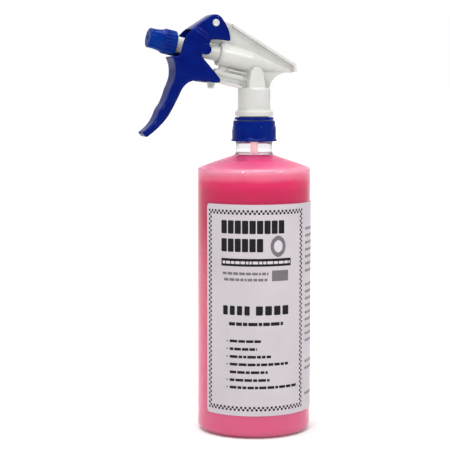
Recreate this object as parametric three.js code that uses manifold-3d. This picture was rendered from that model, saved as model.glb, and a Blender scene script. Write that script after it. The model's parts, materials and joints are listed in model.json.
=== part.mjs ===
// Trigger spray bottle for car detailing: a round clear bottle with a moulded trigger sprayer.
// Millimetres, +Z up. The nozzle points along -X and the sprayer is symmetric about the XZ plane.
// The bottle stands on Z = 0 and the origin is the middle of its base, on the bottle's axis.
import * as THREE from "three";
import { mergeVertices } from "three/addons/utils/BufferGeometryUtils.js";
import Module from "manifold-3d";

const wasm = await Module();
wasm.setup();

// ---------------------------------------------------------------- driving dimensions

// Bottle: blow-moulded, one litre class, with a 28-410 style neck finish.
const bottleRadius = 41;
const bottleWall = 1;
const shoulderHeight = 190.8;
const shoulderSlope = THREE.MathUtils.degToRad(19.4);
const shoulderRadius = 3;
const heelRadius = 5.5;
const standRingWidth = 4.5;
const recessDepth = 1.2; // ring-shaped recess inside the standing ring
const restRadius = 12; // flat middle of the base
const neckRadius = 13.3;
const neckHeight = 21.95;
const neckPlainHeight = 8.2;
const finishRadius = 12.5;
const neckBore = 10.9;
const threadLead = 4.23;
const threadHeight = 1.25;
const threadTurns = 1.5;

// Fill: the lubricant, up to the foot of the neck.
const fillGap = 0.3;
const tubeRoom = 0.9; // between the fill and the dip tube
const fillBelowNeck = 0.6;

// Label: one wrap-round paper label.
const labelBottom = 16.8;
const labelTop = 167;
const labelGap = 0.1;
const labelPaper = 0.2;
const labelStartStep = 10; // in bottle facets from the -Y direction, backwards
const labelSpanSteps = 35;

// Collar: the ribbed screw cap that clamps the sprayer to the neck.
const collarSkirtRadius = 15.3;
const collarFlareRadius = 16.6;
const collarTopRadius = 14;
const collarTopWall = 1.8;
const collarSkirtLength = 15.5;
const threadClearance = 0.4;
const collarHole = 10.9;
const gripGroups = 6;
const gripRibSpacing = THREE.MathUtils.degToRad(13);
const gripRibRadius = 0.6;

// Stack between the bottle's lip and the collar.
const seatGap = 0.05;
const gasketThickness = 1.4;
const retainerFlange = 1.4;
const collarPlay = 0.6;

// Head: stem, barrel and spine, moulded in one piece.
const stemRadius = 11.65;
const stemHeight = 20.3;
const stemFlangeRadius = 13.7;
const stemFlangeHeight = 4.6;
const stemBore = 9.2;
const spigotRadius = 10.5;
const barrelTilt = THREE.MathUtils.degToRad(12);
const barrelRise = 38.7; // axis above the stem's foot, measured on the bottle's axis
const barrelWall = 1.9;
const pistonStep = 0.8; // from the plunger's tube out to the bore
const barrelFront = 14.1; // along the barrel's axis, from the trunnions
const barrelLength = 22.9;
const boreDepth = 27.2;
const tailReach = 31.4;
const tailRadius = 1.2;
const webThickness = 3;
const rimWidth = 9;
const rimThickness = 2.2;
const armReach = 34.5;
const domeShift = -1.2;
const domeRadius = 6.4;
const domeHalfWidth = 9.8;

// Pump: the plunger slides in the barrel and carries the nozzle.
const trunnionReach = 41.05; // along the barrel's axis, forward of the bottle's axis
const trunnionRadius = 1.8;
const plungerRadius = 5.5;
const flowBore = 2;
const nozzleBack = 20.7; // rear of the nozzle, ahead of the trunnions
const nozzleLength = 19.8;
const nozzleFrontRadius = 7;
const nozzleSkirtRadius = 8.5; // at the foot of its flutes
const nozzleThreadStep = 0.8; // from the plunger's tube in to its thread
const nozzleThreadLead = 2;
const nozzleRibs = 20;
const orificeRadius = 0.5;
const pistonLength = 7;
const pistonStart = 19;
const runningGap = 0.1;

// Trigger: a channel-section lever hung on the pivot pin.
const pivotBack = 4.32; // from the trunnions, along the barrel's axis
const pivotRise = 20.33; // square to the barrel's axis
const pivotPinRadius = 2.5;
const pinClearance = 0.1;
const triggerWall = 1.5;
const triggerHalfWidth = 10.2;
const earHalfWidth = 7.7;
const leverTipScale = 0.74;
const bossRadius = 3.7;
const bossHeight = 1;

// Suction side: retainer, dip tube and check valve.
const dipTubeRadius = 2.8;
const dipTubeBore = 1.9;
const dipTubeFoot = 11;
const inletBallRadius = 3.1;
const inletBallLift = 1.5;

// Facets of a full turn.
const bottleFacets = 48;
const roundFacets = 32;
const smallFacets = 24;

// ---------------------------------------------------------------- derived places

const barrelBore = plungerRadius + pistonStep;
const barrelRadius = barrelBore + barrelWall;
const nozzleThreadRadius = plungerRadius - nozzleThreadStep;

const neckBase = shoulderHeight + (bottleRadius - neckRadius) * Math.tan(shoulderSlope);
const lip = neckBase + neckHeight;
const gasketBottom = lip + seatGap;
const flangeBottom = gasketBottom + gasketThickness + seatGap;
const collarCeiling = flangeBottom + retainerFlange + seatGap;
const collarTop = collarCeiling + collarTopWall;
const stemFoot = collarTop + collarPlay;
const stemTop = stemFoot + stemHeight;

// The barrel's own frame: +X runs back along the bore from the trunnions, Z is square to it.
const trunnion = new THREE.Vector3(
  -trunnionReach * Math.cos(barrelTilt),
  0,
  stemFoot + barrelRise + trunnionReach * Math.sin(barrelTilt),
);
const barrelFrame = new THREE.Matrix4().makeRotationY(barrelTilt).setPosition(trunnion);
const pivot = new THREE.Vector3(pivotBack, 0, pivotRise).applyMatrix4(barrelFrame);
const tailAxisHeight = stemFoot + barrelRise - tailReach * Math.tan(barrelTilt);

// ---------------------------------------------------------------- helpers

// A closed geometry as a manifold-3d solid.
function solid(geometry) {
  const bare = geometry.clone();
  for (const name of Object.keys(bare.attributes)) {
    if (name !== "position") bare.deleteAttribute(name);
  }
  const merged = mergeVertices(bare, 1e-4);
  return new wasm.Manifold(
    new wasm.Mesh({
      numProp: 3,
      vertProperties: new Float32Array(merged.attributes.position.array),
      triVerts: new Uint32Array(merged.index.array),
    }),
  );
}

// A manifold-3d solid as a three.js geometry.
function geometryOf(made) {
  const mesh = made.getMesh();
  const geometry = new THREE.BufferGeometry();
  geometry.setAttribute("position", new THREE.BufferAttribute(mesh.vertProperties, 3));
  geometry.setIndex(new THREE.BufferAttribute(mesh.triVerts, 1));
  geometry.computeVertexNormals();
  return geometry;
}

const join = (first, ...rest) => rest.reduce((sum, piece) => sum.add(solid(piece)), solid(first));
const cut = (body, ...tools) => tools.reduce((left, tool) => left.subtract(solid(tool)), body);

// Points [radius, height] turned about Z. The loop runs up the outside and down the inside.
function turned(profile, facets = roundFacets) {
  const points = profile.map(([radius, height]) => new THREE.Vector2(radius, height));
  const [first, last] = [points[0], points.at(-1)];
  if (first.x > 0 || last.x > 0) points.push(first.clone());
  return new THREE.LatheGeometry(points, facets).rotateX(Math.PI / 2);
}

// The same turned about X, so that [radius, station] runs back along the barrel.
const turnedAlongX = (profile, facets) => turned(profile, facets).rotateY(Math.PI / 2);

// Points on an arc in the profile plane, from one angle to another in degrees.
function arc(radius, height, size, from, to, steps) {
  return Array.from({ length: steps + 1 }, (_, i) => {
    const angle = THREE.MathUtils.degToRad(from + ((to - from) * i) / steps);
    return [radius + size * Math.cos(angle), height + size * Math.sin(angle)];
  });
}

// An outline in the XZ plane as a plate reaching halfWidth to each side of Y = 0.
function plate(outline, halfWidth) {
  const shape = new THREE.Shape(outline.map(([x, z]) => new THREE.Vector2(x, z)));
  return new THREE.ExtrudeGeometry(shape, { depth: 2 * halfWidth, bevelEnabled: false })
    .rotateX(Math.PI / 2)
    .translate(0, halfWidth, 0);
}

// A rod across the sprayer, parallel to Y.
const crossRod = (radius, halfLength, x, z, facets = smallFacets) =>
  new THREE.CylinderGeometry(radius, radius, 2 * halfLength, facets).translate(x, 0, z);

// A box given by its middle and its sizes.
const block = (x, y, z, sizeX, sizeY, sizeZ) =>
  new THREE.BoxGeometry(sizeX, sizeY, sizeZ).translate(x, y, z);

// A right-hand helical ridge about Z: [radius, half width] at its root and at its crest.
// It crosses the X axis at the height start, and begins from turns later.
function helicalRidge({ root, crest, start, lead, from = 0, turns, stepsPerTurn = 20 }) {
  const steps = Math.round(turns * stepsPerTurn);
  const runOut = 2;
  const positions = [];
  const faces = [];
  for (let i = 0; i <= steps; i++) {
    const turn = from + i / stepsPerTurn;
    const angle = turn * 2 * Math.PI;
    const height = start + lead * turn;
    const grown = Math.min(1, (Math.min(i, steps - i) + 0.2) / runOut);
    const crestRadius = root[0] + (crest[0] - root[0]) * grown;
    const corners = [
      [root[0], -root[1]],
      [crestRadius, -crest[1]],
      [crestRadius, crest[1]],
      [root[0], root[1]],
    ];
    for (const [radius, offset] of corners) {
      positions.push(radius * Math.cos(angle), radius * Math.sin(angle), height + offset);
    }
  }
  const inward = crest[0] < root[0];
  const quad = (a, b, c, d) => faces.push(...(inward ? [a, c, b, a, d, c] : [a, b, c, a, c, d]));
  for (let i = 0; i < steps; i++) {
    const near = 4 * i;
    for (let side = 0; side < 4; side++) {
      const next = (side + 1) % 4;
      quad(near + side, near + 4 + side, near + 4 + next, near + next);
    }
  }
  quad(0, 1, 2, 3);
  quad(4 * steps + 3, 4 * steps + 2, 4 * steps + 1, 4 * steps);
  const ridge = new THREE.BufferGeometry();
  ridge.setAttribute("position", new THREE.Float32BufferAttribute(positions, 3));
  return ridge.setIndex(faces);
}

// A coil spring about X between two stations.
class Helix extends THREE.Curve {
  constructor(radius, from, to, coils) {
    super();
    Object.assign(this, { radius, from, to, coils });
  }
  getPoint(t) {
    const angle = 2 * Math.PI * this.coils * t;
    const along = this.from + (this.to - this.from) * t;
    return new THREE.Vector3(
      along,
      this.radius * Math.cos(angle),
      this.radius * Math.sin(angle),
    );
  }
}

function coilSpring({ radius, wire, from, to, coils, stepsPerCoil = 12, sides = 6 }) {
  const section = new THREE.Shape(
    Array.from({ length: sides }, (_, i) => {
      const angle = (2 * Math.PI * i) / sides;
      return new THREE.Vector2(wire * Math.cos(angle), wire * Math.sin(angle));
    }),
  );
  return new THREE.ExtrudeGeometry(section, {
    steps: coils * stepsPerCoil,
    extrudePath: new Helix(radius, from + wire, to - wire, coils),
    bevelEnabled: false,
  });
}

const part = new THREE.Group();
// The barrel's frame as a group, for what is turned about the bore.
const pump = new THREE.Group();
pump.applyMatrix4(barrelFrame);
part.add(pump);

function addNode(group, name, geometry, material) {
  const mesh = new THREE.Mesh(geometry, material);
  mesh.name = name;
  group.add(mesh);
  return mesh;
}

const plastic = (color, roughness = 0.4, opacity = 1) =>
  new THREE.MeshStandardMaterial({
    color,
    roughness,
    metalness: 0,
    opacity,
    transparent: opacity < 1,
  });
const clearPlastic = plastic(0xf2f2f4, 0.1, 0.3);
const pinkLiquid = plastic(0xe23a6e, 0.15, 0.85);
const labelPaperFinish = plastic(0xd8cdd4, 0.6);
const bluePlastic = plastic(0x0a1f8f, 0.3);
const whitePlastic = plastic(0xe9e9e4, 0.4);
const naturalPlastic = plastic(0xe4dccb, 0.45);
const sealRubber = plastic(0xcfcfc8, 0.8);
const steel = new THREE.MeshStandardMaterial({ color: 0xb9bcc0, roughness: 0.25, metalness: 1 });

// ---------------------------------------------------------------- bottle, fill and label

// The inside of the bottle from the middle of its floor to the foot of the neck, moved in by gap.
function cavityProfile(gap) {
  const radius = bottleRadius - bottleWall - gap;
  const heel = heelRadius - bottleWall;
  const floor = bottleWall + gap;
  const coneDrop = (bottleWall + gap) / Math.cos(shoulderSlope);
  const cornerHeight = shoulderHeight - coneDrop + (bottleWall + gap) * Math.tan(shoulderSlope);
  const standOuter = bottleRadius - heelRadius;
  const standInner = standOuter - standRingWidth;
  return {
    radius,
    floor: [
      [0, recessDepth + floor],
      [standInner, recessDepth + floor],
      [standOuter, floor],
      ...arc(radius - heel, floor + heel, heel, -75, 0, 4),
    ],
    corner: [radius, cornerHeight - 2],
    coneAt: (r) => cornerHeight + (radius - r) * Math.tan(shoulderSlope),
  };
}

function bottle() {
  const standOuter = bottleRadius - heelRadius;
  const standInner = standOuter - standRingWidth;
  const cavity = cavityProfile(0);
  const finishFoot = neckBase + neckPlainHeight;
  const shoulderTangent = shoulderRadius * Math.tan((Math.PI / 2 - shoulderSlope) / 2);
  const shoulderEnd = THREE.MathUtils.radToDeg(Math.PI / 2 - shoulderSlope);
  const outside = [
    [0, 0],
    [restRadius, 0],
    [restRadius + 2, recessDepth],
    [standInner - 2, recessDepth],
    [standInner, 0],
    [standOuter, 0],
    ...arc(standOuter, heelRadius, heelRadius, -75, 0, 5),
    ...arc(
      bottleRadius - shoulderRadius,
      shoulderHeight - shoulderTangent,
      shoulderRadius,
      0,
      shoulderEnd,
      4,
    ),
    [neckRadius + 1.4, neckBase - 1.4 * Math.tan(shoulderSlope)],
    [neckRadius + 0.3, neckBase + 0.3],
    [neckRadius, neckBase + 1.2],
    [neckRadius, finishFoot],
    [finishRadius, finishFoot + 0.7],
    [finishRadius, lip - 0.4],
    [finishRadius - 0.4, lip],
  ];
  const inside = [
    [neckBore, lip],
    [neckBore, finishFoot - 1],
    [neckRadius - bottleWall, finishFoot - 3],
    [neckRadius - bottleWall, cavity.coneAt(neckRadius - bottleWall)],
    ...arc(cavity.radius - 2, cavity.corner[1], 2, 60, 0, 3),
    ...cavity.floor.toReversed(),
  ];
  const thread = helicalRidge({
    root: [finishRadius - 0.5, 1.25],
    crest: [finishRadius + threadHeight, 0.5],
    start: finishFoot + 3,
    lead: threadLead,
    turns: threadTurns,
  });
  return geometryOf(join(turned([...outside, ...inside], bottleFacets), thread));
}

function lubeFill() {
  const cavity = cavityProfile(fillGap);
  const level = neckBase - fillBelowNeck;
  const surfaceRadius = cavity.radius - (level - cavity.coneAt(cavity.radius)) / Math.tan(shoulderSlope);
  const bore = dipTubeRadius + tubeRoom;
  const boreFloor = dipTubeFoot - 1.5;
  return turned(
    [
      ...cavity.floor,
      ...arc(cavity.radius - 2, cavity.corner[1], 2, 0, 60, 3),
      [surfaceRadius, level],
      [bore, level],
      [bore, boreFloor],
      [0, boreFloor],
    ],
    bottleFacets,
  );
}

function label() {
  const facet = (2 * Math.PI) / bottleFacets;
  const inner = bottleRadius + labelGap;
  const outer = inner + labelPaper;
  const steps = Array.from({ length: labelSpanSteps + 1 }, (_, i) => i - labelStartStep);
  const at = (radius, step) =>
    new THREE.Vector2(
      radius * Math.sin(step * facet),
      -radius * Math.cos(step * facet),
    );
  const shape = new THREE.Shape([
    ...steps.map((step) => at(outer, step)),
    ...steps.toReversed().map((step) => at(inner, step)),
  ]);
  return new THREE.ExtrudeGeometry(shape, {
    depth: labelTop - labelBottom,
    bevelEnabled: false,
  }).translate(0, 0, labelBottom);
}

addNode(part, "bottle", bottle(), clearPlastic);
addNode(part, "lube_fill", lubeFill(), pinkLiquid);
addNode(part, "label", label(), labelPaperFinish);

// ---------------------------------------------------------------- collar, gasket and retainer

function collar() {
  const bottom = collarCeiling - collarSkirtLength;
  const wallInner = finishRadius + threadHeight + threadClearance;
  const shoulder = collarTop - 2.6;
  const shell = turned([
    [wallInner + 0.6, bottom],
    [collarFlareRadius, bottom],
    [collarFlareRadius, bottom + 1],
    [collarSkirtRadius + 0.4, bottom + 3],
    [collarSkirtRadius, shoulder - 0.5],
    [collarSkirtRadius - 0.5, shoulder],
    [collarTopRadius, shoulder],
    [collarTopRadius, collarTop - 0.6],
    [collarTopRadius - 0.6, collarTop],
    [collarHole, collarTop],
    [collarHole, collarCeiling],
    [wallInner, collarCeiling],
    [wallInner, bottom + 0.8],
  ]);
  // Half a lead below the neck's ridge, so that the two sit in each other's grooves.
  const thread = helicalRidge({
    root: [wallInner + 0.4, 1.2],
    crest: [finishRadius + threadClearance, 0.5],
    start: neckBase + neckPlainHeight + 3 - threadLead / 2,
    lead: threadLead,
    from: 0.4,
    turns: 1.4,
  });
  let made = join(shell, thread);
  for (let group = 0; group < gripGroups; group++) {
    for (const place of [-1, 0, 1]) {
      const angle = (2 * Math.PI * group) / gripGroups + place * gripRibSpacing;
      const length = place === 0 ? 10.4 : 8.2;
      const rib = new THREE.CylinderGeometry(gripRibRadius, gripRibRadius, length, 8)
        .rotateX(Math.PI / 2)
        .translate(0, -collarSkirtRadius, bottom + 0.4 + length / 2)
        .rotateZ(angle);
      made = made.add(solid(rib));
    }
  }
  return geometryOf(made);
}

function neckGasket() {
  const top = gasketBottom + gasketThickness;
  return turned([
    [neckBore - 1.4, gasketBottom],
    [finishRadius, gasketBottom],
    [finishRadius, top],
    [neckBore - 1.4, top],
  ]);
}

// Heights inside the stem, from the ball's seat upwards.
const seatHeight = stemFoot + 9;
const cageRadius = inletBallRadius + 0.5;
const retainerTop = seatHeight + 9.2;
const tubeSocketTop = seatHeight - 3;
const ballCentre = seatHeight + inletBallRadius - 0.92;

function tubeRetainer() {
  const flangeTop = flangeBottom + retainerFlange;
  const plug = stemBore - runningGap;
  const holder = dipTubeRadius + 1.6;
  const socket = dipTubeRadius + 0.05;
  const seatHole = 1.7;
  const shell = turned(
    [
      [socket + 0.5, flangeBottom - 10],
      [holder, flangeBottom - 10],
      [holder + 0.6, flangeBottom],
      [finishRadius - 0.2, flangeBottom],
      [finishRadius - 0.2, flangeTop],
      [plug, flangeTop],
      [plug, retainerTop - 0.6],
      [plug - 0.6, retainerTop],
      [cageRadius, retainerTop],
      [cageRadius, seatHeight + 1.4],
      [seatHole, seatHeight - 0.6],
      [seatHole, tubeSocketTop],
      [socket, tubeSocketTop],
      [socket, flangeBottom - 9],
    ],
    roundFacets,
  );
  // Four nibs at the cage's mouth let the ball snap in and hold it.
  const nibFoot = ballCentre + inletBallRadius + inletBallLift + 0.05;
  const nibHeight = retainerTop - nibFoot;
  const nib = block(cageRadius - 0.2, 0, nibFoot + nibHeight / 2, 2.8, 1.4, nibHeight);
  const nibs = [0, 1, 2, 3].map((turn) => nib.clone().rotateZ((turn * Math.PI) / 2));
  return geometryOf(join(shell, ...nibs));
}

function dipTube() {
  return turned(
    [
      [dipTubeBore, dipTubeFoot],
      [dipTubeRadius, dipTubeFoot],
      [dipTubeRadius, tubeSocketTop - 0.2],
      [dipTubeBore, tubeSocketTop - 0.2],
    ],
    smallFacets,
  );
}

addNode(part, "collar", collar(), bluePlastic);
addNode(part, "neck_gasket", neckGasket(), sealRubber);
addNode(part, "tube_retainer", tubeRetainer(), whitePlastic);
addNode(part, "dip_tube", dipTube(), naturalPlastic);
addNode(
  part,
  "inlet_ball",
  new THREE.SphereGeometry(inletBallRadius, 16, 8).rotateX(Math.PI / 2).translate(0, 0, ballCentre),
  steel,
);

// ---------------------------------------------------------------- head

// Height of the barrel's axis over a place x.
const axisHeight = (x) => stemFoot + barrelRise - x * Math.tan(barrelTilt);

function headBody() {
  const stem = turned([
    [0, stemFoot],
    [stemFlangeRadius, stemFoot],
    [stemFlangeRadius, stemFoot + stemFlangeHeight - 1.6],
    [stemRadius + 0.6, stemFoot + stemFlangeHeight - 0.4],
    [stemRadius, stemFoot + stemFlangeHeight + 0.8],
    [stemRadius, stemTop - 1],
    [stemRadius - 1, stemTop],
    [0, stemTop],
  ]);
  const spigot = turned([
    [0, collarCeiling],
    [spigotRadius, collarCeiling],
    [spigotRadius, stemFoot + 0.5],
    [0, stemFoot + 0.5],
  ]);
  const barrelEnd = barrelFront + barrelLength;
  const tailStation = (trunnionReach + tailReach) / Math.cos(barrelTilt);
  const barrel = turnedAlongX([
    [0, barrelFront],
    [barrelRadius, barrelFront],
    [barrelRadius, barrelEnd],
    [tailRadius, tailStation - 2.5],
    [0, tailStation - 2.5],
  ]).applyMatrix4(barrelFrame);

  // The spine: a thin plate from the pivot to the tail and down to the stem.
  const tailTop = tailAxisHeight + 5.2;
  const tailBottom = tailAxisHeight - 0.3;
  const underTail = new THREE.QuadraticBezierCurve(
    new THREE.Vector2(tailReach, tailBottom),
    new THREE.Vector2(stemRadius + 0.8, tailBottom + 0.6),
    new THREE.Vector2(stemRadius - 0.4, stemTop - 2),
  );
  const armFoot = (x) => stemTop + (-x - stemRadius) * 0.22;
  const topLine = (x) => tailTop + ((tailReach - x) * (pivot.z + 7.5 - tailTop)) / (tailReach - pivot.x);
  const rimStart = pivot.x + 13.9;
  const spine = plate(
    [
      [pivot.x - 2.4, pivot.z],
      [pivot.x, pivot.z + 4.2],
      [rimStart, topLine(rimStart)],
      [tailReach, tailTop],
      ...underTail.getPoints(8).map((p) => [p.x, p.y]),
      [0, stemTop - 4],
      [-stemRadius + 0.6, stemTop - 2],
      [-stemRadius - 1.2, armFoot(-stemRadius - 1.2) - 0.2],
      [-armReach, armFoot(-armReach)],
      [-armReach, armFoot(-armReach) + 5],
      [-armReach + 5, axisHeight(-armReach + 5) - 16],
      [trunnion.x + barrelFront + 1.2, axisHeight(trunnion.x + barrelFront) - 4],
      [trunnion.x + barrelFront + 1.2, axisHeight(trunnion.x + barrelFront)],
      [pivot.x - 2.4, axisHeight(pivot.x) + barrelRadius - 0.4],
    ],
    webThickness / 2,
  );
  const rim = plate(
    [
      [rimStart, topLine(rimStart) - rimThickness],
      [tailReach - 2.4, tailTop - rimThickness + 1.2],
      [tailReach - 2.4, tailBottom],
      [tailReach, tailBottom],
      [tailReach, tailTop],
      [rimStart, topLine(rimStart)],
    ],
    rimWidth / 2,
  );
  const armFlange = plate(
    [
      [-stemRadius + 1, armFoot(-stemRadius + 1)],
      [-armReach, armFoot(-armReach)],
      [-armReach, armFoot(-armReach) + 1.5],
      [-stemRadius + 1, armFoot(-stemRadius + 1) + 1.5],
    ],
    5,
  );
  const stopTab = plate(
    [
      [-armReach, armFoot(-armReach) + 1],
      [-armReach + 0.4, armFoot(-armReach) - 4.9],
      [-armReach + 1.8, armFoot(-armReach) - 5.4],
      [-armReach + 4, armFoot(-armReach) + 1],
    ],
    4.5,
  );
  const rail = new THREE.CylinderGeometry(2.8, 2.8, 24.5, 16)
    .rotateZ(Math.PI / 2)
    .translate(24.4, 0, -13.3)
    .applyMatrix4(barrelFrame);
  const ledge = block(27.3, 0, -9.7, 13.5, 2 * 4.6, 1).applyMatrix4(barrelFrame);
  const pivotBoss = crossRod(4.4, 6, pivot.x, pivot.z);
  const dome = plate(
    [
      [domeShift - domeRadius, stemTop - 1.5],
      ...arc(domeShift, stemTop + 8.2, domeRadius, 180, 0, 12),
      [domeShift + domeRadius, stemTop - 1.5],
    ],
    domeHalfWidth,
  );

  const pumpBore = turnedAlongX([
    [0, barrelFront - 1],
    [barrelBore, barrelFront - 1],
    [barrelBore, barrelFront + boreDepth],
    [0, barrelFront + boreDepth],
  ]).applyMatrix4(barrelFrame);
  const capRebate = turnedAlongX([
    [0, barrelFront - 1],
    [barrelBore + 0.6, barrelFront - 1],
    [barrelBore + 0.6, barrelFront + 2.2],
    [0, barrelFront + 2.2],
  ]).applyMatrix4(barrelFrame);
  const capRoom = turnedAlongX([
    [0, -10],
    [plungerRadius + 0.5, -10],
    [plungerRadius + 0.5, barrelFront - 1.6],
    [barrelRadius + 0.3, barrelFront - 1.6],
    [barrelRadius + 0.3, barrelFront],
    [0, barrelFront],
  ]).applyMatrix4(barrelFrame);
  const valveRoom = turned([
    [0, collarCeiling - 1],
    [stemBore, collarCeiling - 1],
    [stemBore, retainerTop + 0.4],
    [2, retainerTop + 2.4],
    [0, retainerTop + 2.4],
  ]);
  const riser = new THREE.CylinderGeometry(1.6, 1.6, barrelRise, 12)
    .rotateX(Math.PI / 2)
    .translate(0, 0, axisHeight(0) - barrelRise / 2)
    .translate(-1.8, 0, 0);
  const pinHole = crossRod(pivotPinRadius + pinClearance, 10, pivot.x, pivot.z);

  const body = join(
    stem,
    spigot,
    barrel,
    spine,
    rim,
    armFlange,
    stopTab,
    rail,
    ledge,
    pivotBoss,
    dome,
  );
  return geometryOf(cut(body, pumpBore, capRebate, capRoom, valveRoom, riser, pinHole));
}

function pivotPin() {
  return crossRod(pivotPinRadius, earHalfWidth + 0.4, pivot.x, pivot.z, roundFacets);
}

function barrelCap() {
  const flange = barrelBore + 0.6 - runningGap;
  return turnedAlongX([
    [plungerRadius + runningGap, barrelFront - 1.2],
    [barrelRadius - 0.3, barrelFront - 1.2],
    [barrelRadius, barrelFront - 0.9],
    [barrelRadius, barrelFront - seatGap],
    [flange, barrelFront - seatGap],
    [flange, barrelFront + 2.1],
    [plungerRadius + runningGap, barrelFront + 2.1],
  ]);
}

addNode(part, "head_body", headBody(), whitePlastic);
addNode(part, "pivot_pin", pivotPin(), whitePlastic);
addNode(pump, "barrel_cap", barrelCap(), whitePlastic);

// ---------------------------------------------------------------- plunger and nozzle

const tipStation = -nozzleBack - nozzleLength + 2.4;
const valveSeat = -nozzleBack - 3.4;
const valveRoomRadius = 2.5;
const seatHoleRadius = 1.4;
const spinnerLength = 3.6;
const nozzleThreadTurns = 2.5;

function plunger() {
  const pistonEnd = pistonStart + pistonLength;
  const journal = plungerRadius - 1.3;
  const body = turnedAlongX(
    [
      [valveRoomRadius, tipStation],
      [nozzleThreadRadius - 0.6, tipStation],
      [nozzleThreadRadius - 0.6, tipStation + 5],
      [nozzleThreadRadius, tipStation + 5.4],
      [nozzleThreadRadius, -nozzleBack + 0.4],
      [plungerRadius, -nozzleBack + 1.2],
      [plungerRadius, pistonStart - 1.2],
      [barrelBore - 0.5, pistonStart - 1.2],
      [barrelBore - 0.5, pistonStart],
      [journal, pistonStart],
      [journal, pistonEnd - 1],
      [journal + 0.4, pistonEnd - 0.6],
      [journal, pistonEnd],
      [flowBore, pistonEnd],
      [flowBore, valveSeat + 2.9],
      [seatHoleRadius, valveSeat + 2.3],
      [seatHoleRadius, valveSeat + 0.9],
      [valveRoomRadius, valveSeat],
    ],
    roundFacets,
  );
  const trunnions = crossRod(trunnionRadius, triggerHalfWidth - 0.1, 0, 0);
  const flowWay = turnedAlongX(
    [
      [0, -nozzleBack],
      [plungerRadius - 1, -nozzleBack],
      [plungerRadius - 1, pistonStart],
      [0, pistonStart],
    ],
    smallFacets,
  );
  const thread = helicalRidge({
    root: [nozzleThreadRadius - 0.3, 0.5],
    crest: [nozzleThreadRadius + 0.45, 0.2],
    start: -nozzleBack - 7.6,
    lead: nozzleThreadLead,
    turns: nozzleThreadTurns,
    stepsPerTurn: 16,
  }).rotateY(Math.PI / 2);
  const trunnionEnds = solid(trunnions).subtract(solid(flowWay));
  return geometryOf(solid(body).add(trunnionEnds).add(solid(thread)));
}

// The soft cup that seals the plunger in the bore: a sleeve with a lip at each end.
function pistonCup() {
  const start = pistonStart + seatGap;
  const end = pistonStart + pistonLength - 1.1;
  const inner = plungerRadius - 1.3 + seatGap;
  const lipRadius = barrelBore - runningGap;
  return turnedAlongX(
    [
      [inner, start],
      [lipRadius, start],
      [lipRadius, start + 1],
      [lipRadius - 0.9, start + 2],
      [lipRadius - 0.9, end - 2],
      [lipRadius, end - 1],
      [lipRadius, end],
      [inner, end],
    ],
    roundFacets,
  );
}

function returnSpring() {
  return coilSpring({
    radius: 4.6,
    wire: 0.45,
    from: pistonStart + pistonLength + 0.2,
    to: barrelFront + boreDepth - 0.2,
    coils: 5,
  });
}

const dischargeBallRadius = 2.1;
const dischargeBallCentre = valveSeat - 0.73;

function dischargeSpring() {
  return coilSpring({
    radius: 1.5,
    wire: 0.2,
    from: tipStation + spinnerLength + 0.1,
    to: dischargeBallCentre - dischargeBallRadius - 0.1,
    coils: 4,
    stepsPerCoil: 10,
    sides: 5,
  });
}

// The plug with slanted slots that sets the liquid spinning.
function spinner() {
  const radius = valveRoomRadius - 0.05;
  const plug = turnedAlongX(
    [
      [0, tipStation],
      [radius, tipStation],
      [radius, tipStation + spinnerLength],
      [0, tipStation + spinnerLength],
    ],
    smallFacets,
  );
  const slots = [0, 1, 2].map((turn) =>
    block(tipStation + spinnerLength / 2, radius, 0, 2 * spinnerLength, 1.2, 0.8)
      .rotateX((2 * Math.PI * turn) / 3),
  );
  return geometryOf(cut(solid(plug), ...slots));
}

// O-ring carried in the nozzle, running on the plunger's smooth tip.
const nozzleSealStation = tipStation + 2.4;
const nozzleSealSection = 0.6;
const nozzleSealRadius = nozzleThreadRadius - 0.6 + nozzleSealSection + 0.05;

function nozzleSeal() {
  return new THREE.TorusGeometry(nozzleSealRadius, nozzleSealSection, 8, roundFacets)
    .rotateY(Math.PI / 2)
    .translate(nozzleSealStation, 0, 0);
}

function nozzle() {
  const back = -nozzleBack;
  const front = back - nozzleLength;
  const bore = nozzleThreadRadius + 0.75;
  const sealRoom = nozzleSealRadius + nozzleSealSection + 0.05;
  const tipRoom = nozzleThreadRadius - 0.6 + 0.15;
  const shell = turnedAlongX([
    [orificeRadius, front + 1],
    [1.6, front],
    [nozzleFrontRadius - 0.5, front],
    [nozzleFrontRadius, front + 0.7],
    [nozzleFrontRadius + 0.1, front + 5.5],
    [nozzleSkirtRadius - 0.6, front + 9.5],
    [nozzleSkirtRadius - 0.4, front + 10.5],
    [nozzleSkirtRadius, back - 1],
    [nozzleSkirtRadius - 0.2, back],
    [bore + 0.5, back],
    [bore, back - 0.8],
    [bore, nozzleSealStation + 2.4],
    [sealRoom, nozzleSealStation + 0.9],
    [sealRoom, nozzleSealStation - 0.7],
    [tipRoom, nozzleSealStation - 0.7],
    [tipRoom, tipStation - 0.3],
    [orificeRadius, tipStation - 0.3],
  ]);
  const thread = helicalRidge({
    root: [bore + 0.3, 0.5],
    crest: [nozzleThreadRadius + 0.15, 0.2],
    start: back - 8.6,
    lead: nozzleThreadLead,
    turns: 2,
    stepsPerTurn: 16,
  }).rotateY(Math.PI / 2);
  let made = join(shell, thread);
  for (let i = 0; i < nozzleRibs; i++) {
    const rib = new THREE.CylinderGeometry(0.62, 0.55, 8.6, 6)
      .rotateZ(Math.PI / 2)
      .translate(back - 4.6, 0, nozzleSkirtRadius - 0.25)
      .rotateX((2 * Math.PI * i) / nozzleRibs);
    made = made.add(solid(rib));
  }
  return geometryOf(made);
}

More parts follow.
